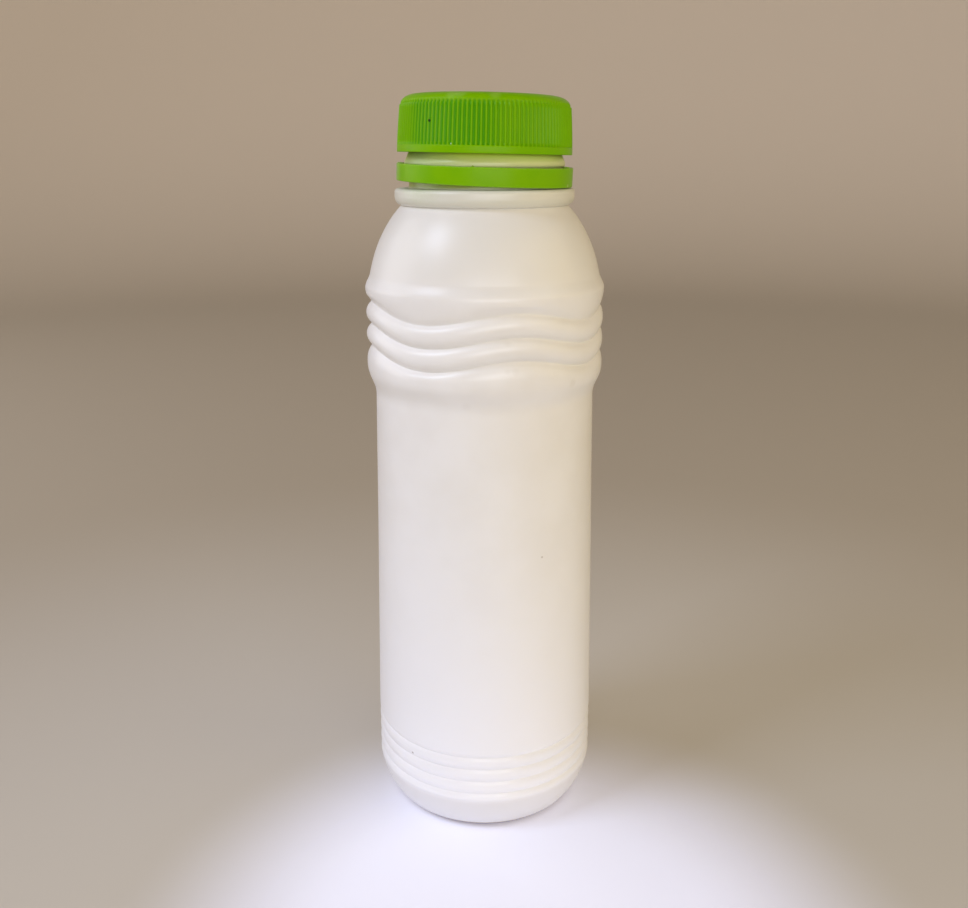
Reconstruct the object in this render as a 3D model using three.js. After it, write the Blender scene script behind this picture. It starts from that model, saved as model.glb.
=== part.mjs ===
// A white blow-moulded drink bottle with a green screw cap and the cap's broken-off safety ring.
// Millimetres, +Z up, the front towards -Y. The origin is the middle of the foot, on the table.
// Every piece is a skin of closed loops round the axis, each loop a radius and a height by angle.
import * as THREE from "three";

// The whole bottle
const COLUMNS = 64; // faces round the bottle
const PANEL_RADIUS_LOW = 26.95; // the plain panel widens a little towards the foot
const PANEL_RADIUS_HIGH = 25.95;
const RIB_RADIUS = 27.87; // the crests of the wavy ribs

// The foot and its heel
const FOOT_INNER_RADIUS = 19;
const PUSH_UP = 1.8; // how far the underside is pushed up in the middle
const HEEL_RADIUS = 26.8;
const HEEL_WIDTH = 5;
const HEEL_HEIGHT = 9.1;
const HEEL_SQUARENESS = 1.4; // exponent of the heel's rounded corner
const HEEL_STEPS = 6;

// The four level grooves above the heel
const LOW_GROOVES = 4;
const LOW_GROOVE_FIRST = 11.3;
const LOW_GROOVE_PITCH = 3.15;
const LOW_GROOVE_DEPTH = 0.38;

// The panel's top end and the soft step out to the wavy ribs
const PANEL_TOP = 103.2;
const STEP_HEIGHTS = [104.6, 106.3, 107.9, 109.5, 111.2];
const STEP_SHARES = [0.07, 0.27, 0.67, 0.93, 1]; // share of the way from the panel to the ribs

// The three wavy grooves
const GROOVES = 3;
const GROOVE_FIRST = 114.25;
const GROOVE_PITCH = 5.08;
const GROOVE_DEPTH = 1.05;
const WAVE_HEIGHT = 1.42; // amplitude
const WAVES = 4;
const WAVE_CREST = THREE.MathUtils.degToRad(15);

// The level ridge over the wavy ribs, where the dome begins
const RIDGE_HEIGHT = 128.8;
const RIDGE_RADIUS = 27.95;
const DOME_FOOT = 132;

// The dome, an ellipse about a circle round the axis
const DOME_CENTRE_HEIGHT = 125;
const DOME_CENTRE_RADIUS = 5.74;
const DOME_REACH = 21.71;
const DOME_RISE = 28.7;
const DOME_TOP = 147.55;
const DOME_STEPS = 6;

// The collar and the neck, which is shut by the cap
const COLLAR_RADIUS = 20.7;
const COLLAR_TOP = 151.35;
const NECK_RADIUS = 17.4;
const BEAD_RADIUS = 18.4;
const BEAD_BOTTOM = 156.3;
const CONE_TOP = 159.7;
const MOUTH_RADIUS = 16.9;
const MOUTH_TOP = 168.3;

// The cap, in its own frame from its lower rim up
const CAP_RIM_HEIGHT = 159;
const CAP_TILT = THREE.MathUtils.degToRad(1.15); // screwed on askew, lower on the right
const CAP_RADIUS = 20;
const CAP_BAND = 1.5; // plain band under the ribs
const CAP_RIB_BOTTOM = 1.7;
const CAP_RIB_TOP = 10.3;
const CAP_RIBS = 120;
const CAP_RIB_DEPTH = 0.38;
const CAP_RIB_TOP_RADIUS = 19.45;
const CAP_CORNER_RADIUS = 15.6; // where the rounded corner meets the top
const CAP_CORNER_WIDTH = 3.6;
const CAP_CORNER_BASE = 10.5;
const CAP_CORNER_RISE = 2.2;
const CAP_CROWN = 12.85;
const CAP_BORE = 17.55;
const CAP_MOUTH = 18.4;
const CAP_MOUTH_DEPTH = 1.2;
const CAP_CEILING = 10.2;

// The broken-off ring, in its own frame about its middle
const RING_HEIGHT = 4.15;
const RING_FLARE = 0.25; // its top edge is higher by this on the right and lower on the left
const RING_RADIUS = 20.2;
const RING_BORE = 19;
const RING_MIDDLE = 154.4;
const RING_TILT_RIGHT = THREE.MathUtils.degToRad(2.35);
const RING_TILT_FRONT = THREE.MathUtils.degToRad(0.65);
const RING_COLUMNS = 72;
const NIB_HEIGHT = 0.45; // what is left of a torn bridge
const NIB_WIDTH = 1.8; // degrees of the ring
const NIB_ANGLES = [37.6, 112.4, 192.4, 262.4, 337.6]; // degrees

const white = new THREE.MeshStandardMaterial({ color: 0xe6e2dc, roughness: 0.42, metalness: 0 });
const green = new THREE.MeshStandardMaterial({ color: 0x74b20a, roughness: 0.38, metalness: 0 });

/** The angles of a number of even columns, in degrees. */
function evenly(count) {
  return Array.from({ length: count }, (unused, i) => (360 * i) / count);
}

/** A closed loop of points round the axis, from the radius and the height at each angle. */
function loop(degrees, radiusAt, heightAt) {
  return degrees.map((degree, i) => {
    const angle = THREE.MathUtils.degToRad(degree);
    const radius = radiusAt(angle, i);
    return [radius * Math.cos(angle), radius * Math.sin(angle), heightAt(angle, i)];
  });
}

/** A level circle; a radius of 0 gives the one point on the axis. */
function circle(count, radius, height) {
  return radius === 0 ? [[0, 0, height]] : loop(evenly(count), () => radius, () => height);
}

/** The triangles between one loop and the next, which may have another number of points. */
function bridge(first, firstCount, second, secondCount, triangles) {
  let i = 0;
  let j = 0;
  const iEnd = firstCount === 1 ? 0 : firstCount;
  const jEnd = secondCount === 1 ? 0 : secondCount;
  while (i < iEnd || j < jEnd) {
    const a = first + (i % firstCount);
    const b = second + (j % secondCount);
    if (j === jEnd || (i < iEnd && (i + 1) / iEnd <= (j + 1) / jEnd)) {
      i += 1;
      triangles.push(a, first + (i % firstCount), b);
    } else {
      j += 1;
      triangles.push(a, second + (j % secondCount), b);
    }
  }
}

/** A closed body through the loops; one that is a tube of section joins its last loop to its first. */
function skin(loops, isRing = false) {
  const positions = loops.flat(2);
  const triangles = [];
  const starts = [];
  let total = 0;
  for (const points of loops) {
    starts.push(total);
    total += points.length;
  }
  const bridges = isRing ? loops.length : loops.length - 1;
  for (let k = 0; k < bridges; k += 1) {
    const next = (k + 1) % loops.length;
    bridge(starts[k], loops[k].length, starts[next], loops[next].length, triangles);
  }
  const geometry = new THREE.BufferGeometry();
  geometry.setAttribute("position", new THREE.Float32BufferAttribute(positions, 3));
  geometry.setIndex(triangles);
  geometry.computeVertexNormals();
  return geometry;
}

/** A row of the bottle: a circle whose height follows its share of the wave. */
function bottleRow(radius, height, waveShare = 0) {
  const wave = (angle) => WAVE_HEIGHT * Math.cos(WAVES * (angle - WAVE_CREST));
  return loop(evenly(COLUMNS), () => radius, (angle) => height + waveShare * wave(angle));
}

/** How far a rounded rib stands over its two grooves, from 0 at a groove to 1 at the crest. */
function pillow(share) {
  return Math.sqrt(1 - (2 * share - 1) ** 2 * 0.75) * 2 - 1;
}

/** The underside: a shallow dish inside a flat foot. */
function footRows() {
  const dish = [[0, 1], [0.55, 0.8], [0.85, 0.4], [1, 0]];
  return dish.map(([out, up]) => circle(COLUMNS, out * FOOT_INNER_RADIUS, up * PUSH_UP));
}

/** The heel: a quarter of a rounded corner from the foot out to the wall. */
function heelRows() {
  const power = 2 / HEEL_SQUARENESS;
  const rows = [];
  for (let i = 0; i <= HEEL_STEPS; i += 1) {
    const turn = (Math.PI / 2) * (1 - i / HEEL_STEPS);
    const radius = HEEL_RADIUS - HEEL_WIDTH * (1 - Math.cos(turn) ** power);
    rows.push(bottleRow(radius, i === 0 ? 0 : HEEL_HEIGHT * (1 - Math.sin(turn) ** power)));
  }
  return rows;
}

/** Grooves at one pitch with rounded ribs between them, from the first groove to the last. */
function grooveRows({ first, pitch, count, depth, crest, shares, waveShare }) {
  const rows = [];
  for (let i = 0; i < count; i += 1) {
    const isLast = i === count - 1;
    for (const share of isLast ? [0] : shares) {
      const radius = crest - depth * (1 - pillow(share));
      rows.push(bottleRow(radius, first + (i + share) * pitch, waveShare));
    }
  }
  return rows;
}

/** The four level grooves over the heel, then the lower end of the panel. */
function lowGrooveRows() {
  const last = LOW_GROOVE_FIRST + (LOW_GROOVES - 1) * LOW_GROOVE_PITCH;
  return [
    bottleRow(HEEL_RADIUS + 0.05, HEEL_HEIGHT + 1.1),
    ...grooveRows({
      first: LOW_GROOVE_FIRST,
      pitch: LOW_GROOVE_PITCH,
      count: LOW_GROOVES,
      depth: LOW_GROOVE_DEPTH,
      crest: PANEL_RADIUS_LOW,
      shares: [0, 0.3, 0.7],
      waveShare: 0,
    }),
    bottleRow(PANEL_RADIUS_LOW, last + 0.4 * LOW_GROOVE_PITCH),
  ];
}

/** The panel's upper end and the step out to the lowest wavy rib. */
function stepRows() {
  const rows = [bottleRow(PANEL_RADIUS_HIGH, PANEL_TOP)];
  STEP_HEIGHTS.forEach((height, i) => {
    const radius = PANEL_RADIUS_HIGH + STEP_SHARES[i] * (RIB_RADIUS - PANEL_RADIUS_HIGH);
    const waveShare = Math.max(0, (height - STEP_HEIGHTS[2]) / (GROOVE_FIRST - STEP_HEIGHTS[2]));
    rows.push(bottleRow(radius, height, waveShare));
  });
  return rows;
}

/** The three wavy grooves and the ribs between them, over the shoulder of the lowest rib. */
function wavyRows() {
  return [
    bottleRow(RIB_RADIUS - 0.35 * GROOVE_DEPTH, GROOVE_FIRST - 0.22 * GROOVE_PITCH, 0.9),
    ...grooveRows({
      first: GROOVE_FIRST,
      pitch: GROOVE_PITCH,
      count: GROOVES,
      depth: GROOVE_DEPTH,
      crest: RIB_RADIUS,
      shares: [0, 0.2, 0.5, 0.8],
      waveShare: 1,
    }),
  ];
}

/** The level ridge: a plain face up from the top groove, a round crest and a hollow to the dome. */
function ridgeRows() {
  const groove = GROOVE_FIRST + (GROOVES - 1) * GROOVE_PITCH;
  const rise = RIDGE_HEIGHT - groove;
  return [
    bottleRow(RIDGE_RADIUS - 0.5, groove + 0.3 * rise, 0.75),
    bottleRow(RIDGE_RADIUS - 0.12, groove + 0.7 * rise, 0.3),
    bottleRow(RIDGE_RADIUS, RIDGE_HEIGHT),
    bottleRow(RIDGE_RADIUS - 0.25, RIDGE_HEIGHT + 0.9),
    bottleRow(RIDGE_RADIUS - 0.75, RIDGE_HEIGHT + 1.9),
  ];
}

/** The dome: part of an ellipse from the ridge up to the collar. */
function domeRows() {
  const rows = [];
  for (let i = 0; i <= DOME_STEPS; i += 1) {
    const height = DOME_FOOT + (DOME_TOP - DOME_FOOT) * Math.sin((Math.PI / 2) * (i / DOME_STEPS));
    const rise = (height - DOME_CENTRE_HEIGHT) / DOME_RISE;
    rows.push(bottleRow(DOME_CENTRE_RADIUS + DOME_REACH * Math.sqrt(1 - rise * rise), height));
  }
  return rows;
}

/** The collar with its round edges, then the neck, its bead and the cone up into the cap. */
function neckRows() {
  const outline = [
    [COLLAR_RADIUS - 0.9, DOME_TOP + 0.55],
    [COLLAR_RADIUS - 0.2, DOME_TOP + 1.2],
    [COLLAR_RADIUS, DOME_TOP + 2],
    [COLLAR_RADIUS, COLLAR_TOP - 0.9],
    [COLLAR_RADIUS - 0.3, COLLAR_TOP - 0.25],
    [COLLAR_RADIUS - 1, COLLAR_TOP],
    [NECK_RADIUS, COLLAR_TOP],
    [NECK_RADIUS, BEAD_BOTTOM - 0.9],
    [BEAD_RADIUS, BEAD_BOTTOM],
    [BEAD_RADIUS, BEAD_BOTTOM + 0.8],
    [NECK_RADIUS, CONE_TOP - 0.4],
    [MOUTH_RADIUS, CONE_TOP],
    [MOUTH_RADIUS, MOUTH_TOP - 0.8],
    [MOUTH_RADIUS - 0.8, MOUTH_TOP],
    [0, MOUTH_TOP],
  ];
  return outline.map(([radius, height]) => circle(COLUMNS, radius, height));
}

/** The bottle, shut and solid, from the underside to the top of its mouth. */
function makeBottle() {
  const rows = [
    ...footRows(), ...heelRows(), ...lowGrooveRows(), ...stepRows(),
    ...wavyRows(), ...ridgeRows(), ...domeRows(), ...neckRows(),
  ];
  const bottle = new THREE.Mesh(skin(rows), white);
  bottle.name = "bottle";
  return bottle;
}

/** A loop of the grip: crests and valleys in turn round the cap. */
function ribLoop(radius, height) {
  const depthAt = (angle, i) => (i % 2 === 0 ? 0 : CAP_RIB_DEPTH);
  return loop(evenly(2 * CAP_RIBS), (angle, i) => radius - depthAt(angle, i), () => height);
}

/** The cap: a cup over the mouth with a ribbed grip, a plain band and a rounded top edge. */
function makeCap() {
  const inside = 60;
  const outside = 120;
  const corner = [1, 0.86, 0.6, 0.28, 0].map((share) => {
    const rise = CAP_CORNER_RISE * Math.sqrt(1 - share * share);
    return circle(outside, CAP_CORNER_RADIUS + share * CAP_CORNER_WIDTH, CAP_CORNER_BASE + rise);
  });
  const cap = new THREE.Mesh(skin([
    circle(inside, 0, CAP_CEILING),
    circle(inside, CAP_BORE, CAP_CEILING),
    circle(inside, CAP_BORE, CAP_MOUTH_DEPTH),
    circle(inside, CAP_MOUTH, 0),
    circle(outside, CAP_RADIUS, 0),
    circle(outside, CAP_RADIUS, CAP_BAND),
    ribLoop(CAP_RADIUS - 0.05, CAP_RIB_BOTTOM),
    ribLoop(CAP_RIB_TOP_RADIUS, CAP_RIB_TOP),
    ...corner,
    circle(outside, 0, CAP_CROWN),
  ]), green);
  cap.name = "cap";
  cap.position.z = CAP_RIM_HEIGHT;
  cap.rotation.y = CAP_TILT;
  return cap;
}

/** The safety ring, dropped askew on the collar, with what is left of its torn bridges on top. */
function makeRing() {
  const low = -RING_HEIGHT / 2;
  const high = RING_HEIGHT / 2;
  const nibs = NIB_ANGLES.flatMap((nib) => [-0.5, -0.3, 0.3, 0.5].map((side) => nib + side * NIB_WIDTH));
  const degrees = [...evenly(RING_COLUMNS), ...nibs].sort((a, b) => a - b);
  const isOnNib = (angle) => NIB_ANGLES.some((nib) => (
    Math.abs(THREE.MathUtils.radToDeg(angle) - nib) < 0.4 * NIB_WIDTH
  ));
  const topAt = (angle) => (
    high + RING_FLARE * Math.cos(angle) + (isOnNib(angle) ? NIB_HEIGHT : 0)
  );
  const ring = new THREE.Mesh(skin([
    loop(degrees, () => RING_RADIUS, () => low),
    loop(degrees, () => RING_RADIUS, topAt),
    loop(degrees, () => RING_BORE, topAt),
    loop(degrees, () => RING_BORE, () => low),
  ], true), green);
  ring.name = "tamper_ring";
  ring.position.z = RING_MIDDLE;
  ring.rotation.set(RING_TILT_FRONT, RING_TILT_RIGHT, 0);
  return ring;
}

const drinkBottle = new THREE.Group();
drinkBottle.add(makeBottle(), makeCap(), makeRing());

export default drinkBottle;
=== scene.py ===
"""The looks of an opened white drink bottle with a green screw cap and its dropped safety ring.

The pieces repeat the solids' own sizes, in millimetres, with finer surfaces. Their meshes are made
in metres, in the solids' frame: +Z up, the front towards -Y, the origin under the foot's middle.
"""

import logging
import math
from dataclasses import dataclass
from enum import Enum

import bpy
import numpy as np
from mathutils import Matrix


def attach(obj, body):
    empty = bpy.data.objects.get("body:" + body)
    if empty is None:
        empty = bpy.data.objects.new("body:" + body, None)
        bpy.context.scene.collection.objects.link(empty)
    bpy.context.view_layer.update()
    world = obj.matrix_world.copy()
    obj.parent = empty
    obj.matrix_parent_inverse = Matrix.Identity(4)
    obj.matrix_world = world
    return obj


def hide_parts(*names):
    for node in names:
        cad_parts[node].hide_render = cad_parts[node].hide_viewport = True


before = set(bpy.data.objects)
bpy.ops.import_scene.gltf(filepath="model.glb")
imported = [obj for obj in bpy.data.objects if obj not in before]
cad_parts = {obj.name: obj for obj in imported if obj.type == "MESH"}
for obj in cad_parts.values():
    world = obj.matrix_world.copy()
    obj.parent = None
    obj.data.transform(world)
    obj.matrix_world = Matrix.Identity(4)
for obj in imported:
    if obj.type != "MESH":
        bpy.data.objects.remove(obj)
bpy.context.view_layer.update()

MM = 0.001
FRONT = -math.pi / 2
NOISE_MIDDLE = 0.5

Colour = tuple[float, float, float]
Spot = tuple[float, float, float]
Pair = tuple[float, float]
Numbers = np.ndarray | float

DIRT = (0.16, 0.10, 0.05)
DUST = (0.42, 0.36, 0.28)

log = logging.getLogger("bottle")


class Closure(Enum):
    """How a skin of rows round the axis is closed."""

    POLES = "the first and the last row are points on the axis"
    TUBE = "the last row joins the first"


class Wire:
    """An output socket of a node; arithmetic on it adds Math nodes."""

    def __init__(self, graph: "Graph", socket: bpy.types.NodeSocket) -> None:
        """Keeps the tree and the socket."""
        self.graph = graph
        self.socket = socket

    def math(self, operation: str, *values: "Wire | float") -> "Wire":
        """Adds a Math node of that operation on the values."""
        sockets = dict(enumerate(values))
        return self.graph.node("ShaderNodeMath", {"operation": operation}, sockets)[0]

    def __add__(self, other: "Wire | float") -> "Wire":
        """Self plus other."""
        return self.math("ADD", self, other)

    __radd__ = __add__

    def __sub__(self, other: "Wire | float") -> "Wire":
        """Self minus other."""
        return self.math("SUBTRACT", self, other)

    def __rsub__(self, other: "Wire | float") -> "Wire":
        """Other minus self."""
        return self.math("SUBTRACT", other, self)

    def __mul__(self, other: "Wire | float") -> "Wire":
        """Self times other."""
        return self.math("MULTIPLY", self, other)

    __rmul__ = __mul__

    def __truediv__(self, other: "Wire | float") -> "Wire":
        """Self over other."""
        return self.math("DIVIDE", self, other)

    def __rtruediv__(self, other: "Wire | float") -> "Wire":
        """Other over self."""
        return self.math("DIVIDE", other, self)

    def ramp(self, low: float, high: float, unit: float = 1.0) -> "Wire":
        """A smooth rise from 0 where the value is low to 1 where it is high, both in that unit."""
        settings = {"interpolation_type": "SMOOTHSTEP"}
        sockets = {"Value": self, "From Min": low * unit, "From Max": high * unit}
        return self.graph.node("ShaderNodeMapRange", settings, sockets)["Result"]

    def fall(self, near: float, far: float, unit: float = 1.0) -> "Wire":
        """A smooth fall from 1 where the value is near to 0 where it is far, both in that unit."""
        return 1 - self.ramp(near, far, unit)


class Sockets:
    """The outputs of a node, by name or by number, as wires."""

    def __init__(self, graph: "Graph", made: bpy.types.Node) -> None:
        """Keeps the node."""
        self.graph = graph
        self.made = made

    def __getitem__(self, key: str | int) -> Wire:
        """The output of that name or number."""
        return Wire(self.graph, self.made.outputs[key])


class Graph:
    """The node tree of a material or a world."""

    def __init__(self, owner: bpy.types.Material | bpy.types.World) -> None:
        """Turns the owner's nodes on and empties its tree."""
        owner.use_nodes = True
        self.tree = owner.node_tree
        self.tree.nodes.clear()

    def node(self, kind: str, settings: dict | None = None, sockets: dict | None = None) -> Sockets:
        """Adds a node.

        Args:
            kind: the node's type.
            settings: its properties, which are set first.
            sockets: the wire, number or colour of each input, by name or number.

        Returns:
            The node's outputs.
        """
        made = self.tree.nodes.new(kind)
        for name, value in (settings or {}).items():
            setattr(made, name, value)
        for key, value in (sockets or {}).items():
            plug = made.inputs[key]
            if isinstance(value, Wire):
                self.tree.links.new(value.socket, plug)
            elif isinstance(value, tuple) and plug.type == "RGBA":
                plug.default_value = (*value, 1.0)
            else:
                plug.default_value = value
        return Sockets(self, made)

    def place(self) -> Wire:
        """The point of the surface in the object's own coordinates."""
        return self.node("ShaderNodeTexCoord")["Object"]

    def parts(self, place: Wire) -> tuple[Wire, Wire, Wire]:
        """The x, y and z of a point."""
        split = self.node("ShaderNodeSeparateXYZ", None, {0: place})
        return split["X"], split["Y"], split["Z"]

    def mix(self, share: Wire | float, first: Wire | Colour, second: Wire | Colour) -> Wire:
        """The first colour where the share is 0 and the second where it is 1."""
        sockets = {"Factor": share, "A": first, "B": second}
        made = self.node("ShaderNodeMix", {"data_type": "RGBA"})
        for name, value in sockets.items():
            plug = next(s for s in made.made.inputs if s.name == name and s.enabled)
            if isinstance(value, Wire):
                self.tree.links.new(value.socket, plug)
            else:
                plug.default_value = (*value, 1.0) if isinstance(value, tuple) else value
        return Wire(self, next(s for s in made.made.outputs if s.enabled))

    def noise(self, place: Wire, size: float, detail: float = 2.0) -> Wire:
        """Noise from 0 to 1 with features of about that size, in millimetres."""
        sockets = {"Vector": place, "Scale": 1 / (size * MM), "Detail": detail}
        return self.node("ShaderNodeTexNoise", None, sockets)["Fac"]

    def stretched(self, place: Wire, scale: Spot) -> Wire:
        """A point whose coordinates are multiplied by the scale."""
        settings = {"vector_type": "POINT"}
        return self.node("ShaderNodeMapping", settings, {"Vector": place, "Scale": scale})["Vector"]

    def far_from(self, place: Wire, spot: Spot) -> Wire:
        """The distance from a spot, in millimetres."""
        settings = {"operation": "DISTANCE"}
        apart = self.node("ShaderNodeVectorMath", settings, {0: place, 1: spot})["Value"]
        return apart / MM


@dataclass(frozen=True)
class Mark:
    """A speck, smudge or soft patch on a surface, or a patch of painted light or shade.

    The angle is in degrees from the front, and the height, radius, size and softness are in
    millimetres. The strength is the share of its colour in its middle.
    """

    angle: float
    height: float
    radius: float
    size: float
    softness: float
    strength: float
    colour: Colour

    def spot(self) -> Spot:
        """Where it is, in metres."""
        turn = FRONT + math.radians(self.angle)
        reach = self.radius * MM
        return (reach * math.cos(turn), reach * math.sin(turn), self.height * MM)

    def over(self, graph: Graph, place: Wire, rag: Wire, under: Wire) -> Wire:
        """Paints it over a colour.

        Args:
            graph: the material's tree.
            place: the point of the surface.
            rag: noise from 0 to 1 that makes its edge uneven.
            under: the colour that it lies on.

        Returns:
            The colour with the mark.
        """
        distance = graph.far_from(place, self.spot()) + (rag - NOISE_MIDDLE) * self.size
        share = distance.fall(self.size, self.size + self.softness) * self.strength
        return graph.mix(share, under, self.colour)


@dataclass(frozen=True)
class Band:
    """A colour that is reached between two heights, in millimetres."""

    colour: Colour
    start: float
    end: float


@dataclass(frozen=True)
class Satin:
    """A satin skin of plastic with fine grain and slow ripples, lit a little from within.

    The ripple's size, both heights and the glow's scale are in millimetres. A stretch under 1 draws
    the ripples out upwards.
    """

    roughness: float
    rough_clouds: float
    specular: float
    subsurface: float
    glow_depth: Colour
    glow_scale: float
    ripple: float
    ripple_height: float
    ripple_stretch: float
    grain_height: float = 0.006

    def put_on(self, graph: Graph, base: Wire, clouds: Wire, grain: Wire) -> None:
        """Ends a material with this skin.

        Args:
            graph: the material's tree.
            base: its colour.
            clouds: slow noise that makes the roughness uneven.
            grain: fine noise that stands out of the surface.
        """
        long = graph.stretched(graph.place(), (1, 1, self.ripple_stretch))
        ripple = graph.noise(long, self.ripple, detail=1)
        bump = graph.node("ShaderNodeBump", None, {
            "Strength": 1.0, "Distance": MM,
            "Height": grain * self.grain_height + ripple * self.ripple_height,
        })["Normal"]
        shader = graph.node("ShaderNodeBsdfPrincipled", {"subsurface_method": "RANDOM_WALK"}, {
            "Base Color": base,
            "Roughness": self.roughness + (clouds - NOISE_MIDDLE) * self.rough_clouds,
            "Specular IOR Level": self.specular,
            "Subsurface Weight": self.subsurface,
            "Subsurface Radius": self.glow_depth,
            "Subsurface Scale": self.glow_scale * MM,
            "Normal": bump,
        })["BSDF"]
        graph.node("ShaderNodeOutputMaterial", None, {"Surface": shader})


@dataclass(frozen=True)
class WhitePlastic:
    """Opaque blow-moulded plastic, a little translucent, with a soft satin skin.

    Its colour clouds at random towards the shade colour. The upper bands then paint light and shade on
    the top from the height that each starts at: painted shade on the dome; painted shade tinted by
    the cap's green light on the collar, the neck behind the ring and the cone; and the painted green
    light of the cap and the ring on the bead. The lower bands hold below the height that each starts
    at and are gone at its end: the paper's painted bluish light on the lower wall, painted shade on
    the heel, and a painted contact shadow round the foot's edge.
    """

    colour: Colour = (0.80, 0.79, 0.775)
    shade: Colour = (0.77, 0.755, 0.73)
    clouds: float = 14.0
    cloud_edges: Pair = (0.35, 0.7)
    grain: float = 0.55
    rag: float = 0.7
    lower: tuple[Band, ...] = (
        # painted light: the lower wall bluer and paler, as if lit by the paper below
        Band((0.81, 0.81, 0.835), 15.0, 100.0),
        # painted shade: the heel, which faces down, darker
        Band((0.70, 0.69, 0.695), 8.3, 10.3),
        # painted contact shadow: a brown line round the foot's edge
        Band((0.16, 0.09, 0.045), 0.5, 1.5),
    )
    upper: tuple[Band, ...] = (
        # painted shade: the dome darker
        Band((0.745, 0.73, 0.69), 128.0, 135.0),
        # painted shade with the cap's green light on the collar
        Band((0.66, 0.655, 0.57), 146.8, 148.6),
        # painted shade with the cap's green light on the neck behind the ring
        Band((0.42, 0.50, 0.09), 151.2, 152.0),
        # painted light: the paler green light of the cap and the ring on the bead
        Band((0.58, 0.63, 0.30), 154.5, 156.3),
        # painted shade under the cap, with its green light, on the cone
        Band((0.50, 0.64, 0.05), 156.6, 159.2),
    )
    satin: Satin = Satin(
        roughness=0.33, rough_clouds=0.12, specular=0.48,
        subsurface=0.25, glow_depth=(1.0, 0.92, 0.8), glow_scale=1.2,
        ripple=9.0, ripple_height=0.05, ripple_stretch=0.35,
    )
    marks: tuple[Mark, ...] = (
        Mark(-40.3, 18.4, 26.9, 0.14, 0.3, 0.7, DIRT),
        Mark(29.7, 69.8, 26.3, 0.12, 0.2, 0.45, DIRT),
        Mark(10.2, 120.1, 27.6, 0.3, 1.0, 0.08, DUST),
        Mark(10.3, 113.7, 27.7, 0.2, 0.8, 0.07, DUST),
        Mark(13.9, 113.6, 27.7, 0.3, 1.0, 0.09, DUST),
        Mark(44.6, 109.5, 27.6, 0.4, 0.9, 0.12, DUST),
        Mark(-8.6, 105.7, 26.3, 0.3, 1.1, 0.06, DUST),
        Mark(43.6, 147.1, 20.0, 0.1, 0.2, 0.5, DIRT),
        Mark(-45.3, 142.2, 22.4, 0.2, 0.8, 0.07, DUST),
        # painted shade: two soft olive patches darken the neck's left side
        Mark(-62.0, 158.5, 17.8, 2.5, 6.0, 0.7, (0.24, 0.34, 0.08)),
        Mark(-45.0, 156.5, 17.8, 2.5, 8.0, 0.5, (0.34, 0.46, 0.16)),
    )

    def material(self) -> bpy.types.Material:
        """The material, on object coordinates."""
        made = bpy.data.materials.new("bottle_white")
        graph = Graph(made)
        place = graph.place()
        height = graph.parts(place)[2]
        clouds = graph.noise(place, self.clouds, detail=3)
        grain = graph.noise(place, self.grain, detail=3)
        rag = graph.noise(place, self.rag)
        base = graph.mix(clouds.ramp(*self.cloud_edges), self.colour, self.shade)
        for band in self.lower:
            base = graph.mix(height.fall(band.start, band.end, MM), base, band.colour)
        for band in self.upper:
            base = graph.mix(height.ramp(band.start, band.end, MM), base, band.colour)
        for mark in self.marks:
            base = mark.over(graph, place, rag, base)
        self.satin.put_on(graph, base, clouds, grain)
        return made


@dataclass(frozen=True)
class GreenPlastic:
    """Lime green moulded plastic, yellower where it is raised, its grip's valleys darker and greener:
    partly their own hue, partly painted shade.

    At both sides the valleys' painted shade fades by a share, so they are painted paler there. The
    fade ends over the x of the left pair and starts over those of the right one, in millimetres. The
    torn edges are worn pale in spots.
    """

    name: str
    marks: tuple[Mark, ...] = ()
    raised: Colour = (0.185, 0.425, 0.0)
    # the valley colour is partly the valleys' own hue and partly painted shade
    valley: Colour = (0.075, 0.32, 0.0)
    worn: Colour = (0.36, 0.50, 0.12)
    valley_edges: Pair = (0.1, 0.9)
    worn_edges: Pair = (0.35, 0.65)
    worn_share: float = 0.5
    valley_shade_fade: float = 0.7
    valley_shade_fade_left: Pair = (-17.0, -14.0)
    valley_shade_fade_right: Pair = (-1.0, 6.0)
    clouds: float = 6.0
    cloud_edges: Pair = (0.4, 0.75)
    cloud_share: float = 0.18
    grain: float = 0.35
    rag: float = 0.5
    satin: Satin = Satin(
        roughness=0.34, rough_clouds=0.1, specular=0.07,
        subsurface=0.15, glow_depth=(0.6, 1.0, 0.1), glow_scale=0.8,
        ripple=5.0, ripple_height=0.04, ripple_stretch=1.0,
    )

    def material(self) -> bpy.types.Material:
        """The material, with the valleys and the torn edges from the piece's own attributes."""
        made = bpy.data.materials.new(self.name)
        graph = Graph(made)
        place = graph.place()
        across = graph.parts(place)[0]
        depth = graph.node("ShaderNodeAttribute", {"attribute_name": "valley"})["Fac"]
        edge = graph.node("ShaderNodeAttribute", {"attribute_name": "edge"})["Fac"]
        clouds = graph.noise(place, self.clouds, detail=3)
        grain = graph.noise(place, self.grain, detail=3)
        rag = graph.noise(place, self.rag)
        # the valleys' painted shade fades at both sides, leaving them paler
        shade_faded = across.ramp(*self.valley_shade_fade_right, MM) + across.fall(*self.valley_shade_fade_left, MM)
        # share of the valley colour: partly the valleys' hue, partly painted shade
        valley_shade_share = depth.ramp(*self.valley_edges) * (1 - shade_faded * self.valley_shade_fade)
        base = graph.mix(valley_shade_share, self.raised, self.valley)
        base = graph.mix(clouds.ramp(*self.cloud_edges) * self.cloud_share, base, self.valley)
        base = graph.mix(edge * grain.ramp(*self.worn_edges) * self.worn_share, base, self.worn)
        for mark in self.marks:
            base = mark.over(graph, place, rag, base)
        self.satin.put_on(graph, base, clouds, grain)
        return made


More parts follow.
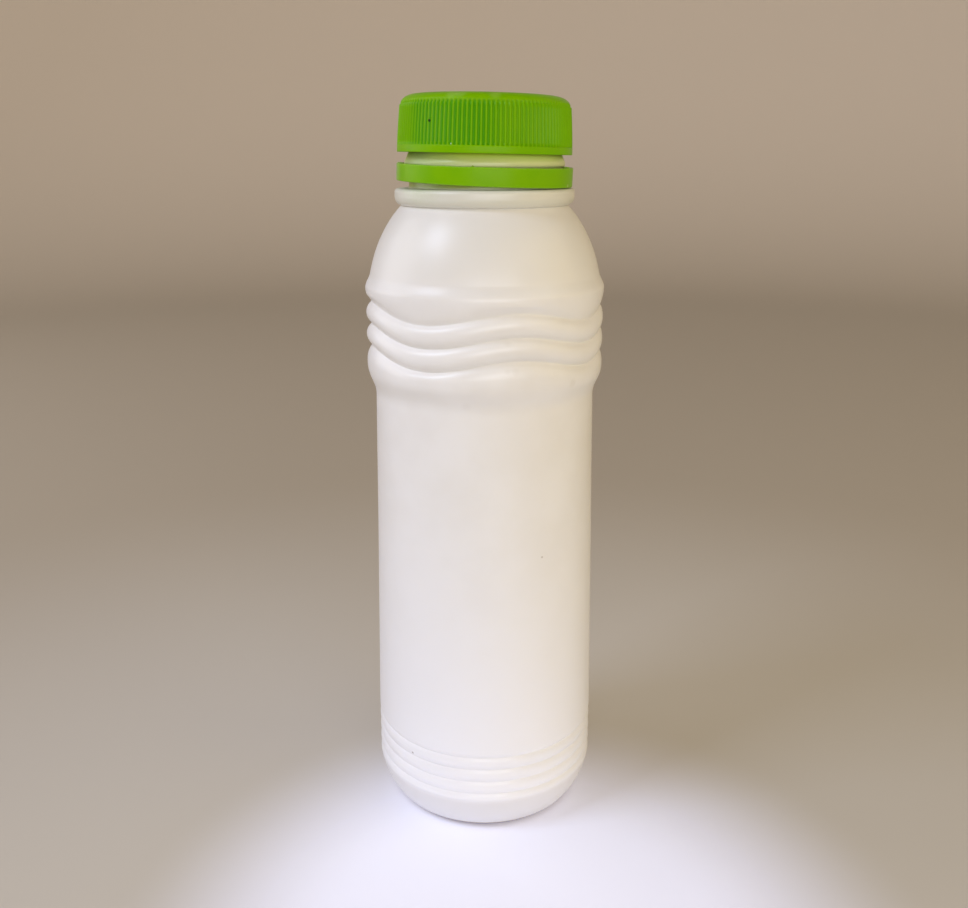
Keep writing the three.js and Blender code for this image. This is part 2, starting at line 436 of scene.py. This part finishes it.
def put_in(name: str, data: bpy.types.ID) -> bpy.types.Object:
    """Puts an object with that mesh, light or camera into the scene, at the origin."""
    made = bpy.data.objects.new(name, data)
    bpy.context.scene.collection.objects.link(made)
    return made


def rows(radius: Numbers, height: Numbers, share: Numbers = 0.0) -> np.ndarray:
    """Rows of an outline: radius, height and a share, such as that of the wave."""
    return np.stack(np.broadcast_arrays(radius, height, share), axis=-1).reshape(-1, 3).astype(float)


def round_grid(radius: np.ndarray, angle: np.ndarray, height: np.ndarray) -> np.ndarray:
    """Points round the axis from a radius, an angle and a height for each row and column."""
    radius, angle, height = np.broadcast_arrays(radius, angle, height)
    return np.stack([radius * np.cos(angle), radius * np.sin(angle), height], axis=-1)


def smooth(value: np.ndarray, low: float = 0.0, high: float = 1.0) -> np.ndarray:
    """A rise from 0 at low to 1 at high with level ends: 6 s^5 - 15 s^4 + 10 s^3 of the share s."""
    share = np.clip((value - low) / (high - low), 0, 1)
    return share**3 * (share * (6 * share - 15) + 10)


def softened(corners: list[tuple[float, float, float]], steps: int = 6) -> np.ndarray:
    """An outline through corners, each rounded by a parabola that starts its size before the corner.

    Args:
        corners: the radius, the height and the size of the rounding of each corner.
        steps: points on each rounding.

    Returns:
        The outline's rows. A point on a rounding is (1-t)^2 before + 2t(1-t) corner + t^2 after.
    """
    points = np.array(corners)[:, :2]
    outline = [points[:1]]
    t = np.linspace(0, 1, steps)[:, None]
    for before, corner, after, (_, _, size) in zip(points, points[1:], points[2:], corners[1:-1]):
        back = (before - corner) / np.linalg.norm(before - corner) * size
        on = (after - corner) / np.linalg.norm(after - corner) * size
        outline.append(corner + (1 - t) ** 2 * back + t**2 * on)
    outline.append(points[-1:])
    made = np.concatenate(outline)
    return rows(made[:, 0], made[:, 1])


def ellipse_rows(start: Pair, end: Pair, turns_out: bool, steps: int) -> np.ndarray:
    """A quarter of an ellipse from one point to another.

    Args:
        start: the first radius and height.
        end: the last radius and height.
        turns_out: whether it leaves the start level and reaches the end upright, or the reverse.
        steps: its points.

    Returns:
        Its rows, with radius and height as the sine and cosine of the angle run over.
    """
    angle = np.linspace(0, np.pi / 2, steps)
    slow, fast = 1 - np.cos(angle), np.sin(angle)
    out, up = (fast, slow) if turns_out else (slow, fast)
    return rows(start[0] + (end[0] - start[0]) * out, start[1] + (end[1] - start[1]) * up)


def skin(name: str, grid: np.ndarray, closure: Closure) -> bpy.types.Object:
    """Puts a grid of points round the axis into a closed mesh.

    Neighbours in a row and in the next row make a four-sided face, the last column joins the first,
    and a pole is a fan of triangles.

    Args:
        name: the piece's name.
        grid: points by row, column and axis, in metres.
        closure: how its rows close.

    Returns:
        The piece, at the origin.
    """
    count, columns = grid.shape[:2]
    mesh = bpy.data.meshes.new(name)
    if closure is Closure.POLES:
        points = np.concatenate([grid[:1, 0], grid[1:-1].reshape(-1, 3), grid[-1:, 0]])
        numbers = np.arange((count - 2) * columns).reshape(-1, columns) + 1
    else:
        points = grid.reshape(-1, 3)
        numbers = np.arange(count * columns).reshape(-1, columns)
        numbers = np.concatenate([numbers, numbers[:1]])
    after = np.roll(numbers, -1, axis=1)
    quads = np.stack([numbers[:-1], after[:-1], after[1:], numbers[1:]], axis=-1).reshape(-1, 4)
    faces = quads.tolist()
    if closure is Closure.POLES:
        low = np.stack([np.zeros(columns, int), after[0], numbers[0]], axis=-1)
        high = np.stack([numbers[-1], after[-1], np.full(columns, len(points) - 1)], axis=-1)
        faces += low.tolist() + high.tolist()
    mesh.from_pydata(points.tolist(), [], faces)
    mesh.shade_smooth()
    return put_in(name, mesh)


def leant(grid: np.ndarray, right: float, front: float, height: float) -> np.ndarray:
    """Leans a grid and lifts it.

    Args:
        grid: points in millimetres, in the piece's own frame.
        right: degrees by which its right side sinks, about Y.
        front: degrees by which its front then sinks, about X.
        height: where its origin goes, in millimetres.

    Returns:
        The points in metres, in the bottle's frame.
    """
    roll, pitch = math.radians(right), math.radians(front)
    x, y, z = (grid[..., i] for i in range(3))
    x, z = x * math.cos(roll) + z * math.sin(roll), z * math.cos(roll) - x * math.sin(roll)
    y, z = y * math.cos(pitch) - z * math.sin(pitch), z * math.cos(pitch) + y * math.sin(pitch)
    return np.stack([x, y, z + height], axis=-1) * MM


def attribute(piece: bpy.types.Object, name: str, values: np.ndarray) -> None:
    """Gives each point of a piece a number that its material reads."""
    made = piece.data.attributes.new(name, "FLOAT", "POINT")
    made.data.foreach_set("value", values.astype(np.float32).ravel())


def dress(piece: bpy.types.Object, node: str, finish: WhitePlastic | GreenPlastic) -> None:
    """Gives a piece its finish and lets it stand for its solid."""
    piece.data.materials.append(finish.material())
    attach(piece, "root")
    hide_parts(node)
    log.info("%s: %d faces", piece.name, len(piece.data.polygons))


@dataclass(frozen=True)
class Bottle:
    """The white bottle, from its pushed-up underside to the top of its shut mouth.

    Millimetres and degrees. The steps are the points along a stretch of the outline, a squareness
    or an ease is the power in its formula, and the last flank is a share of the grooves' pitch. The
    seam and the wobble start over the heights of the wall's foot and end over those of its head.
    """

    columns: int = 192
    coarse_steps: int = 22
    fine_steps: int = 34
    rib_steps: int = 30
    seam_offsets: tuple[float, ...] = (-0.9, -0.55, -0.3, 0.3, 0.55, 0.9)
    panel_radius_low: float = 26.95
    panel_radius_high: float = 25.95
    rib_radius: float = 27.87
    foot_inner_radius: float = 19.0
    foot_edge: float = 0.4
    push_up: float = 1.8
    push_up_squareness: float = 2.8
    heel_radius: float = 26.8
    heel_width: float = 5.0
    heel_height: float = 9.1
    heel_squareness: float = 1.4
    low_grooves: int = 4
    heel_edge_height: float = 9.85
    heel_edge_radius: float = 26.95
    low_groove_first: float = 11.3
    low_groove_pitch: float = 3.15
    low_groove_depth: float = 0.46
    last_flank: float = 0.4
    panel_top: float = 103.2
    step_top: float = 111.2
    wave_start: float = 106.9
    wave_ease: float = 1.3
    grooves: int = 3
    groove_first: float = 114.25
    groove_pitch: float = 5.08
    groove_depth: float = 1.18
    groove_softness: float = 0.08
    wave_height: float = 1.42
    waves: int = 4
    wave_crest: float = 15.0
    ridge_height: float = 128.8
    ridge_radius: float = 27.95
    dome_foot: float = 132.0
    dome_centre_height: float = 125.0
    dome_centre_radius: float = 5.74
    dome_reach: float = 21.71
    dome_rise: float = 28.7
    dome_top: float = 147.55
    collar_radius: float = 20.7
    collar_foot: float = 2.0
    collar_edge: Pair = (1.0, 0.9)
    collar_top: float = 151.35
    neck_radius: float = 17.4
    neck_round: float = 0.3
    bead_radius: float = 18.4
    bead_bottom: float = 156.3
    bead_slope: float = 0.9
    bead_height: float = 0.8
    bead_round: float = 0.25
    cone_top: float = 159.7
    cone_edge: float = 0.4
    cone_round: float = 0.2
    mouth_radius: float = 16.9
    mouth_top: float = 168.3
    mouth_round: float = 0.8
    seam_height: float = 0.05
    seam_width: float = 0.14
    wobble: float = 0.06
    wobble_pitches: Pair = (17.0, 11.0)
    wall_foot: Pair = (3.0, 9.0)
    wall_head: Pair = (140.0, 146.0)

    def pillow(self, share: np.ndarray) -> np.ndarray:
        """How far a rounded rib stands over its groove, from 0 at the groove to 1 at its crest.

        Twice the square root of one less three quarters of (1 - s) squared, less one, where s is
        the share of the way to the crest, eased next to the groove.
        """
        soft = self.groove_softness
        eased = (np.sqrt(share**2 + soft**2) - soft) / (math.sqrt(1 + soft**2) - soft)
        return 2 * np.sqrt(1 - 0.75 * (1 - eased) ** 2) - 1

    def underside(self) -> np.ndarray:
        """A dish inside the flat foot: its height falls with the radius to the power of squareness."""
        share = np.linspace(0, 1, self.coarse_steps)
        height = self.push_up * (1 - share**self.push_up_squareness)
        edge = rows(self.foot_inner_radius + self.foot_edge, 0.0)
        return np.concatenate([rows(share * self.foot_inner_radius, height), edge])

    def heel(self) -> np.ndarray:
        """A quarter of a superellipse from the foot out to the wall."""
        turn = np.linspace(np.pi / 2, 0, self.fine_steps)
        power = 2 / self.heel_squareness
        radius = self.heel_radius - self.heel_width * (1 - np.cos(turn) ** power)
        return rows(radius, self.heel_height * (1 - np.sin(turn) ** power))

    def flank(self, groove: float, crest: float, low: float, high: float, steps: int) -> np.ndarray:
        """Half a rounded rib between a groove and a crest.

        Args:
            groove: the groove's height.
            crest: the crest's height, over or under it.
            low: the radius in the groove.
            high: the radius at the crest.
            steps: its points, from the lower end to the upper.

        Returns:
            Its rows, without a wave.
        """
        share = np.linspace(0, 1, steps)
        made = rows(low + (high - low) * self.pillow(share), groove + (crest - groove) * share)
        return made if crest > groove else made[::-1]

    def ribbing(self, heights: Pair, count: int, radii: Pair, wave: float) -> np.ndarray:
        """Rounded ribs from the first groove to the last.

        Args:
            heights: the lowest groove's height and the pitch from groove to groove.
            count: the grooves.
            radii: the crests' radius and the depth from crest to groove.
            wave: the share of the wave that they follow.

        Returns:
            Its rows; the radius follows the pillow formula on the distance to the nearest groove.
        """
        along = np.linspace(0, count - 1, (count - 1) * self.rib_steps + 1)
        share = 2 * np.abs(along - np.round(along))
        radius = radii[0] - radii[1] * (1 - self.pillow(share))
        return rows(radius, heights[0] + along * heights[1], wave)

    def low_ribbing(self) -> np.ndarray:
        """The heel's round edge and the four level grooves, which end in the plain wall."""
        first, pitch, wall = self.low_groove_first, self.low_groove_pitch, self.panel_radius_low
        last = first + (self.low_grooves - 1) * pitch
        end = last + self.last_flank * pitch
        groove = wall - self.low_groove_depth
        share = np.linspace(0, 1, 9)[1:-1]
        under = rows(
            self.heel_radius + (self.heel_edge_radius - self.heel_radius) * smooth(share),
            self.heel_height + (self.heel_edge_height - self.heel_height) * share,
        )
        return np.concatenate([
            under,
            self.flank(first, self.heel_edge_height, groove, self.heel_edge_radius, steps=12)[:-1],
            self.ribbing((first, pitch), self.low_grooves, (wall, self.low_groove_depth), wave=0),
            self.flank(last, end, groove, wall, steps=10)[1:],
        ])

    def panel(self) -> np.ndarray:
        """The plain wall, straight up to the step, which rises by the smooth share of its height."""
        last = self.low_groove_first + (self.low_grooves - 0.5) * self.low_groove_pitch
        share = np.linspace(0, 1, self.fine_steps)
        wall = rows(
            self.panel_radius_low + (self.panel_radius_high - self.panel_radius_low) * share,
            last + (self.panel_top - last) * share,
        )
        share = share[1:]
        height = self.panel_top + (self.step_top - self.panel_top) * share
        step = rows(
            self.panel_radius_high + (self.rib_radius - self.panel_radius_high) * smooth(share),
            height, self.wave_share(height),
        )
        return np.concatenate([wall, step])

    def wave_share(self, height: np.ndarray) -> np.ndarray:
        """The share of the wave under the lowest wavy groove, from level to whole."""
        share = (height - self.wave_start) / (self.groove_first - self.wave_start)
        return np.clip(share, 0, 1) ** self.wave_ease

    def wavy_ribbing(self) -> np.ndarray:
        """The three wavy grooves, from the round shoulder of the lowest rib to the ridge's crest."""
        first, pitch, crest = self.groove_first, self.groove_pitch, self.rib_radius
        top = first + (self.grooves - 1) * pitch
        groove = crest - self.groove_depth
        shoulder = self.flank(first, self.step_top, groove, crest, steps=22)[1:-1]
        shoulder[:, 2] = self.wave_share(shoulder[:, 1])
        ribs = self.ribbing((first, pitch), self.grooves, (crest, self.groove_depth), wave=1)
        face = self.flank(top, self.ridge_height, groove, self.ridge_radius, steps=26)[1:]
        face[:, 2] = 1 - smooth(face[:, 1], top, self.ridge_height)
        return np.concatenate([shoulder, ribs, face])

    def dome_radius(self, height: Numbers) -> Numbers:
        """The dome's ellipse about a circle round the axis: centre + reach x root(1 - rise squared)."""
        rise = (height - self.dome_centre_height) / self.dome_rise
        return self.dome_centre_radius + self.dome_reach * np.sqrt(1 - rise**2)

    def dome(self) -> np.ndarray:
        """A cubic hollow from the ridge's crest into the dome's slope, then the ellipse.

        The hollow is (2t^3 - 3t^2 + 1) ridge + (3t^2 - 2t^3) foot + (t^3 - t^2) slope x rise.
        """
        rise = self.dome_foot - self.ridge_height
        foot = self.dome_radius(self.dome_foot)
        near = 0.01
        slope = (self.dome_radius(self.dome_foot + near) - foot) / near
        t = np.linspace(0, 1, self.coarse_steps)[1:]
        hollow = (
            (2 * t**3 - 3 * t**2 + 1) * self.ridge_radius
            + (3 * t**2 - 2 * t**3) * foot
            + (t**3 - t**2) * slope * rise
        )
        climb = np.sin(np.linspace(0, np.pi / 2, self.fine_steps))[1:]
        height = self.dome_foot + (self.dome_top - self.dome_foot) * climb
        return np.concatenate([
            rows(hollow, self.ridge_height + rise * t),
            rows(self.dome_radius(height), height),
        ])

    def neck(self) -> np.ndarray:
        """The collar with its round edges, then the neck, its bead and the cone up into the cap."""
        foot = (float(self.dome_radius(self.dome_top)), self.dome_top)
        wall = self.dome_top + self.collar_foot
        edge = self.collar_top - self.collar_edge[1]
        brow = (self.collar_radius - self.collar_edge[0], self.collar_top)
        upper = softened([
            (*brow, 0),
            (self.neck_radius, self.collar_top, self.neck_round),
            (self.neck_radius, self.bead_bottom - self.bead_slope, self.neck_round),
            (self.bead_radius, self.bead_bottom, self.bead_round),
            (self.bead_radius, self.bead_bottom + self.bead_height, self.bead_round),
            (self.neck_radius, self.cone_top - self.cone_edge, self.cone_round),
            (self.mouth_radius, self.cone_top, self.cone_round),
            (self.mouth_radius, self.mouth_top, self.mouth_round),
            (0.0, self.mouth_top, 0),
        ])
        return np.concatenate([
            ellipse_rows(foot, (self.collar_radius, wall), turns_out=True, steps=14)[1:],
            rows(self.collar_radius, (wall + edge) / 2),
            ellipse_rows((self.collar_radius, edge), brow, turns_out=False, steps=8),
            upper[1:],
        ])

    def angles(self) -> np.ndarray:
        """Even columns, with more of them beside the mould's parting lines at the two sides."""
        even = np.arange(self.columns) * 360 / self.columns
        seams = np.add.outer((0, 180), self.seam_offsets).ravel()
        return np.radians(np.unique(np.concatenate([even, seams % 360])))

    def build(self) -> None:
        """Makes the bottle: radius and height by row, plus the wave, the wobble and the seam.

        The wave is a cosine of the angle, the seam a bell curve of the distance from the parting
        line, and the wobble two sines of angle and height, which only take away from the radius.
        """
        outline = np.concatenate([
            self.underside(), self.heel(), self.low_ribbing(), self.panel(),
            self.wavy_ribbing(), self.dome(), self.neck(),
        ])
        radius, height, share = (outline[:, i, None] for i in range(3))
        angle = self.angles()[None, :]
        wave = self.wave_height * np.cos(self.waves * (angle - math.radians(self.wave_crest)))
        on_wall = smooth(height, *self.wall_foot) * (1 - smooth(height, *self.wall_head))
        long, short = self.wobble_pitches
        uneven = np.sin(2 * angle + height / long) + np.sin(3 * angle - height / short + 1)
        across = np.abs((angle + np.pi / 2) % np.pi - np.pi / 2) * radius
        seam = self.seam_height * np.exp(-((across / self.seam_width) ** 2))
        full = radius + on_wall * (seam + self.wobble * (uneven - 2) / 4)
        full = np.minimum(full, self.ridge_radius)
        grid = round_grid(full, angle, height + share * wave) * MM
        dress(skin("white_bottle", grid, Closure.POLES), "bottle", WhitePlastic())


@dataclass(frozen=True)
class Cap:
    """The screw cap, in its own frame from its lower rim up, leaning on the neck.

    Millimetres and degrees. The taper and the valley's squareness are powers in their formulas.
    """

    rim_height: float = 159.0
    lean: float = 1.15
    radius: float = 20.0
    band: float = 1.5
    ledge: float = 0.05
    rib_bottom: float = 1.7
    rib_top: float = 10.3
    ribs: int = 120
    rib_depth: float = 0.38
    rib_top_radius: float = 19.45
    rib_taper: float = 1.4
    rib_phase: float = 0.6
    rib_end: float = 0.8
    rib_fade: float = 1.0
    valley_squareness: float = 0.75
    valley_tint: float = 0.2
    columns_per_rib: int = 8
    corner_radius: float = 15.6
    corner_width: float = 3.6
    corner_base: float = 10.5
    corner_rise: float = 2.2
    crown: float = 12.85
    bore: float = 17.55
    mouth: float = 18.4
    mouth_depth: float = 1.2
    ceiling: float = 10.2
    gate_radius: float = 1.3
    gate_depth: float = 0.12

    def inside(self) -> np.ndarray:
        """The cup that takes the mouth, then the rim."""
        return softened([
            (0.0, self.ceiling, 0),
            (self.bore, self.ceiling, 0.3),
            (self.bore, self.mouth_depth, 0.2),
            (self.mouth, 0.0, 0.15),
            (self.radius, 0.0, 0.2),
            (self.radius, self.band / 2, 0),
        ], steps=4)

    def grip(self) -> np.ndarray:
        """The band, its small ledge and the ribs, with the share of the rib depth in each row."""
        foot = self.radius - self.ledge
        ledge = np.array([
            (self.radius, self.band - 0.1, 0),
            (self.radius, self.band, 0),
            (foot, self.rib_bottom - self.ledge, 0.25),
            (foot, self.rib_bottom, 0.9),
        ])
        share = np.linspace(0, 1, 12)[1:]
        ribs = rows(
            foot + (self.rib_top_radius - foot) * share**self.rib_taper,
            self.rib_bottom + (self.rib_top - self.rib_bottom) * share,
            1.0,
        )
        return np.concatenate([ledge, ribs])

    def crown_rows(self) -> np.ndarray:
        """The round edge, into which the ribs fade, and the top with the moulding's gate mark.

        The edge is a quarter of an ellipse, and the ribs end over its lowest part. The top is a
        parabola, and the gate mark a dip that falls off with the radius to the fourth power.
        """
        foot = (self.corner_radius + self.corner_width, self.corner_base)
        brow = (self.corner_radius, self.corner_base + self.corner_rise)
        edge = ellipse_rows(foot, brow, turns_out=False, steps=24)
        edge[:, 2] = self.rib_end * (1 - smooth(edge[:, 1], foot[1], foot[1] + self.rib_fade))
        rise = self.crown - brow[1]
        share = np.linspace(1, 0, 16)[1:]
        height = brow[1] + rise * (1 - share**2)
        dip = self.gate_depth * np.exp(-((share * self.corner_radius / self.gate_radius) ** 4))
        return np.concatenate([edge, rows(share * self.corner_radius, height - dip)])

    def build(self) -> None:
        """Makes the cap: each column's radius falls by the rib depth times its valley's share."""
        outline = np.concatenate([self.inside(), self.grip(), self.crown_rows()])
        radius, height, share = (outline[:, i, None] for i in range(3))
        columns = self.ribs * self.columns_per_rib
        turn = np.arange(columns) * 2 * np.pi / columns
        valley = (0.5 - 0.5 * np.cos(self.ribs * turn)) ** self.valley_squareness
        full = radius - self.rib_depth * share * valley
        grid = round_grid(full, turn + FRONT + math.radians(self.rib_phase), height)
        piece = skin("screw_cap", leant(grid, self.lean, 0.0, self.rim_height), Closure.POLES)
        # share of the valley colour, partly painted shade, kept as an attribute
        valley_shade_share = share * (self.valley_tint + (1 - self.valley_tint) * valley)
        attribute(piece, "valley", np.concatenate([valley_shade_share[0, :1], valley_shade_share[1:-1].ravel(), valley_shade_share[-1, :1]]))
        finish = GreenPlastic("cap_green", marks=(
            Mark(-37.0, 165.85, 19.5, 0.22, 0.15, 1.0, (0.0, 0.02, 0.0)),
            Mark(-21.1, 161.05, 19.7, 0.1, 0.12, 0.8, (0.8, 0.9, 0.7)),
            # painted highlights: three pale soft patches on the top's round edge
            Mark(-22.0, 171.1, 17.7, 0.6, 1.3, 0.25, (0.40, 0.60, 0.16)),
            Mark(-16.0, 171.1, 17.7, 0.5, 1.2, 0.2, (0.40, 0.60, 0.16)),
            Mark(7.0, 170.9, 17.9, 0.5, 1.3, 0.25, (0.40, 0.58, 0.10)),
        ))
        dress(piece, "cap", finish)


@dataclass(frozen=True)
class Ring:
    """The broken-off safety ring, in its own frame about its middle, askew on the collar.

    Millimetres and degrees. The tear grows between two depths under the top edge, and the worn
    colour does so at both edges.
    """

    height: float = 4.15
    flare: float = 0.25
    radius: float = 20.2
    bore: float = 19.0
    middle: float = 154.4
    lean_right: float = 2.35
    lean_front: float = 0.65
    columns: int = 720
    edge_softness: float = 0.3
    section_gap: float = 0.01
    torn: float = 0.05
    torn_depths: Pair = (1.0, 0.1)
    worn_depths: Pair = (0.35, 0.05)
    nib_height: float = 0.25
    nib_width: float = 0.7
    nib_angles: tuple[float, ...] = (37.6, 112.4, 192.4, 262.4, 337.6)

    def build(self) -> None:
        """Makes the ring: a rounded section whose top edge carries the flare and the torn nibs.

        The flare is a cosine from the left to the right, and the tear adds three sines.
        """
        half = self.height / 2
        section = softened([
            (self.bore, 0.0, 0),
            (self.bore, -half, self.edge_softness),
            (self.radius, -half, self.edge_softness),
            (self.radius, half, self.edge_softness),
            (self.bore, half, self.edge_softness),
            (self.bore, self.section_gap, 0),
        ])
        radius, height = section[:, 0, None], section[:, 1, None]
        degrees = np.arange(self.columns) * 360 / self.columns
        angle = np.radians(degrees)[None, :]
        apart = np.abs((degrees[:, None] - np.array(self.nib_angles) + 180) % 360 - 180)
        nibs = self.nib_height * np.exp(-((apart / self.nib_width) ** 4)).sum(axis=1)[None, :]
        tear = np.sin(7 * angle) + np.sin(12 * angle + 1) + np.sin(19 * angle + 2)
        upper = smooth(height, *(half - depth for depth in self.torn_depths))
        lifted = height + upper * (nibs + self.flare * np.cos(angle) + self.torn * (tear - 3) / 3)
        grid = round_grid(radius, angle, lifted)
        placed = leant(grid, self.lean_right, self.lean_front, self.middle)
        piece = skin("safety_ring", placed, Closure.TUBE)
        edge = smooth(np.abs(height), *(half - depth for depth in self.worn_depths))
        attribute(piece, "edge", edge * np.ones_like(angle))
        finish = GreenPlastic("ring_green", marks=(
            Mark(-6.9, 156.5, 20.2, 0.12, 0.3, 0.55, DIRT),
            Mark(59.7, 156.2, 20.1, 0.15, 0.3, 0.4, DIRT),
            Mark(-73.4, 157.3, 20.1, 0.12, 0.3, 0.5, DIRT),
            Mark(67.0, 152.0, 20.2, 0.12, 0.4, 0.5, (0.62, 0.66, 0.36)),
            # painted light: a paler grey-green patch on the ring's left end
            Mark(-84.0, 155.2, 20.2, 2.0, 4.0, 0.4, (0.36, 0.44, 0.20)),
        ))
        dress(piece, "tamper_ring", finish)


@dataclass(frozen=True)
class SoftLight:
    """A rectangular studio light that faces the bottle's axis at the height of its aim.

    Degrees from the front, positive to the right, and up from there, then metres and watts.
    """

    name: str
    azimuth: float
    elevation: float
    distance: float
    size: Pair
    power: float
    colour: Colour
    aim: float = 0.085

    def build(self) -> None:
        """Makes the light, which the camera doesn't see."""
        data = bpy.data.lights.new(self.name, "AREA")
        data.shape = "RECTANGLE"
        data.size, data.size_y = self.size
        data.energy = self.power
        data.color = self.colour
        lamp = put_in(self.name, data)
        turn, lift = math.radians(self.azimuth), math.radians(self.elevation)
        away = (math.sin(turn) * math.cos(lift), -math.cos(turn) * math.cos(lift), math.sin(lift))
        x, y, z = (part * self.distance for part in away)
        lamp.location = (x, y, self.aim + z)
        lamp.rotation_euler = (math.pi / 2 - lift, 0, turn)
        lamp.visible_camera = False


@dataclass(frozen=True)
class Studio:
    """A sheet of white paper on a floor that sweeps up into a beige wall, soft lights and the camera.

    The paper glows a little, and so does the wall, for the light of a room that is larger than this.
    Metres; the edges, at which one colour goes over into the next, are millimetres from the paper's
    middle, and the camera's picture is in pixels and its sensor in millimetres.
    """

    floor_radius: float = 1.0
    sweep: float = 0.6
    wall_top: float = 2.2
    rings: int = 24
    columns: int = 96
    paper_middle: Spot = (0.008, -0.06, 0.0)
    paper_edge: Pair = (38.0, 90.0)
    floor_edge: Pair = (90.0, 330.0)
    wall_edge: Pair = (900.0, 1600.0)
    paper_colour: Colour = (0.88, 0.88, 0.96)
    # painted shade: the floor beyond the paper and the band behind it are darker
    floor_colour: Colour = (0.46, 0.44, 0.41)
    back_colour: Colour = (0.30, 0.26, 0.21)
    wall_colour: Colour = (0.72, 0.65, 0.58)
    roughness: float = 0.8
    specular: float = 0.2
    paper_glow: Colour = (0.165, 0.18, 0.26)
    wall_glow: Colour = (0.13, 0.107, 0.08)
    camera_distance: float = 0.2385
    camera_height: float = 0.1588
    camera_tilt: float = 13.4
    camera_near: float = 0.01
    focal_pixels: float = 1014.0
    picture_width: int = 968
    picture_height: int = 908
    centre_row: float = 396.0
    centre_column: float = 484.6
    sensor: float = 36.0
    world_colour: Colour = (0.55, 0.50, 0.44)
    world_strength: float = 0.02
    lights: tuple[SoftLight, ...] = (
        SoftLight("window_side", -100, 20, 0.9, (0.7, 0.7), 2.85, (0.96, 0.95, 1.0)),
        SoftLight("window_high", -63, 45, 0.9, (0.3, 0.3), 3.1, (0.68, 0.77, 1.0)),
        SoftLight("room_front", 8, 9, 0.9, (0.8, 0.34), 4.0, (0.92, 0.94, 1.0)),
        SoftLight("lamp_right", 40, 30, 0.9, (0.6, 0.7), 0.66, (1.0, 0.7, 0.1)),
        SoftLight("room_right", 75, 20, 0.9, (0.7, 0.7), 1.7, (1.0, 0.8, 0.32)),
    )

    def floor(self) -> None:
        """A disc, a quarter of a circle up from its edge and a wall, turned round the axis."""
        turn = np.linspace(0, np.pi / 2, self.rings)
        flat = np.linspace(0, self.floor_radius, self.rings)[:-1]
        rim = self.floor_radius + self.sweep
        wall = [(self.sweep + self.wall_top) / 2, self.wall_top]
        radius = np.concatenate([flat, self.floor_radius + self.sweep * np.sin(turn), [rim, rim]])
        height = np.concatenate([0 * flat, self.sweep * (1 - np.cos(turn)), wall])
        angle = np.arange(self.columns) * 2 * np.pi / self.columns
        points = round_grid(radius[:, None], angle, height[:, None])
        numbers = np.arange(radius.size * self.columns).reshape(-1, self.columns)
        after = np.roll(numbers, -1, axis=1)
        faces = np.stack([numbers[:-1], numbers[1:], after[1:], after[:-1]], axis=-1).reshape(-1, 4)
        mesh = bpy.data.meshes.new("floor")
        mesh.from_pydata(points.reshape(-1, 3).tolist(), [], faces.tolist())
        mesh.shade_smooth()
        mesh.materials.append(self.ground_material())
        put_in("floor", mesh)

    def ground_material(self) -> bpy.types.Material:
        """White paper by the foot, then floor and a band behind it in painted shade, then wall, by the
        distance from the paper's middle.
        """
        made = bpy.data.materials.new("floor_paper")
        made.cycles.emission_sampling = "NONE"
        graph = Graph(made)
        away = graph.far_from(graph.place(), self.paper_middle)
        off_paper = away.ramp(*self.paper_edge)
        colour = graph.mix(off_paper, self.paper_colour, self.floor_colour)
        colour = graph.mix(away.ramp(*self.floor_edge), colour, self.back_colour)
        colour = graph.mix(away.ramp(*self.wall_edge), colour, self.wall_colour)
        shader = graph.node("ShaderNodeBsdfPrincipled", None, {
            "Base Color": colour,
            "Emission Color": graph.mix(off_paper, self.paper_glow, self.wall_glow),
            "Emission Strength": 1.0,
            "Roughness": self.roughness,
            "Specular IOR Level": self.specular,
        })["BSDF"]
        graph.node("ShaderNodeOutputMaterial", None, {"Surface": shader})
        return made

    def camera(self) -> None:
        """The camera at the photo's viewing angle, shifted by as much as its framing needs."""
        data = bpy.data.cameras.new("camera")
        data.sensor_width = self.sensor
        data.lens = self.focal_pixels * self.sensor / self.picture_width
        data.shift_x = (self.picture_width / 2 - self.centre_column) / self.picture_width
        data.shift_y = (self.centre_row - self.picture_height / 2) / self.picture_width
        data.clip_start = self.camera_near
        seer = put_in("camera", data)
        seer.location = (0, -self.camera_distance, self.camera_height)
        seer.rotation_euler = (math.radians(90 - self.camera_tilt), 0, 0)
        bpy.context.scene.camera = seer

    def world(self) -> None:
        """Soft light from all round."""
        world = bpy.data.worlds.new("room")
        graph = Graph(world)
        glow = {"Color": self.world_colour, "Strength": self.world_strength}
        light = graph.node("ShaderNodeBackground", None, glow)["Background"]
        graph.node("ShaderNodeOutputWorld", None, {"Surface": light})
        bpy.context.scene.world = world

    def build(self) -> None:
        """Makes the floor, the camera, the world and the lights, and shows colours as they are."""
        self.floor()
        self.camera()
        self.world()
        for light in self.lights:
            light.build()
        bpy.context.scene.view_settings.view_transform = "Standard"
        log.info("studio: %d lights", len(self.lights))


def main() -> None:
    """Builds the pieces in order, then the studio."""
    logging.basicConfig(level=logging.INFO, format="%(name)s: %(message)s")
    for part in (Bottle(), Cap(), Ring(), Studio()):
        part.build()


if __name__ == "__main__":
    main()
